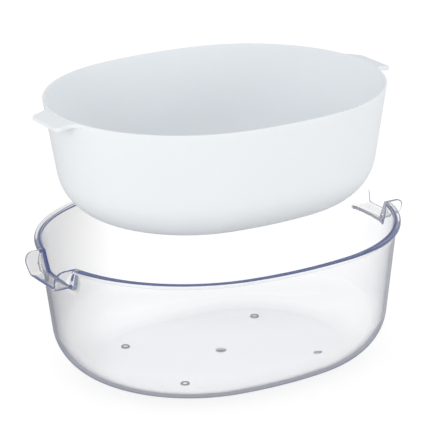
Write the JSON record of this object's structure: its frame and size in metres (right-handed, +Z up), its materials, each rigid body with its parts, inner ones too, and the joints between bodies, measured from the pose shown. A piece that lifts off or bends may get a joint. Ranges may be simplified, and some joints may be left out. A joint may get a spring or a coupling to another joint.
{
  "type": "colander with bowl",
  "caption": "Opaque oval colander with a flat perforated floor, lifted above the deep clear bowl it nests in; its end tabs rest in notched cradles of the bowl.",
  "frame": {"origin": "middle of the bowl, on the surface its feet stand on", "axes": "+Z up, X along the long axis through the two cradles and tabs, Y across the bowl"},
  "size_m": [0.332, 0.2648, 0.2328],
  "materials": {
    "clear_plastic": "clear, polished",
    "white_plastic": "fine satin"
  },
  "bodies": {
    "bowl": {"bowl": "clear_plastic"},
    "colander": {"colander": "white_plastic"}
  },
  "joints": [
    {"name": "colander_lift", "type": "slide", "parent": "bowl", "child": "colander", "axis": [0, 0, 1], "range_m": [-0.1226, 0.02]}
  ]
}
